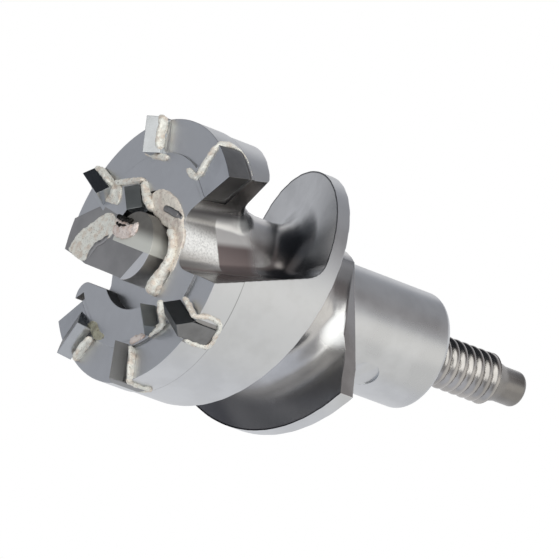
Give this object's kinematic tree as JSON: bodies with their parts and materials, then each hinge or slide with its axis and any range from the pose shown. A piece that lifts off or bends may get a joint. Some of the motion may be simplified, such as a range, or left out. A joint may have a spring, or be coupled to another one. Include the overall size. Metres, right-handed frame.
{
  "type": "core drill bit",
  "caption": "Two-wing core drill head with brazed hard-metal cutters, a core breaker on the axis, two auger flutes, a round shank and a threaded stud.",
  "frame": {"origin": "on the tool's axis, at the plane that the cutter tips stand on", "axes": "+Z along the tool axis from the cutter tips to the stud, +X towards the open side of the first flute"},
  "size_m": [0.08, 0.08, 0.1478],
  "materials": {
    "body_steel": "satin turned and blasted steel",
    "breaker_steel": "milled steel, heat-tinted grey",
    "hard_metal": "ground hard metal",
    "silver_braze": "matt silver solder"
  },
  "bodies": {
    "root": {"body": "body_steel", "core_breaker": "breaker_steel", "face_cutter_1": "hard_metal", "face_cutter_2": "hard_metal", "lead_cutter_1": "hard_metal", "lead_cutter_2": "hard_metal", "inner_cutter_1": "hard_metal", "inner_cutter_2": "hard_metal", "heel_cutter_1": "hard_metal", "heel_cutter_2": "hard_metal", "face_braze_1": "silver_braze", "face_braze_2": "silver_braze", "lead_braze_1": "silver_braze", "lead_braze_2": "silver_braze", "inner_braze_1": "silver_braze", "inner_braze_2": "silver_braze", "heel_braze_1": "silver_braze", "heel_braze_2": "silver_braze", "core_braze": "silver_braze", "plate_braze": "silver_braze"}
  },
  "joints": []
}
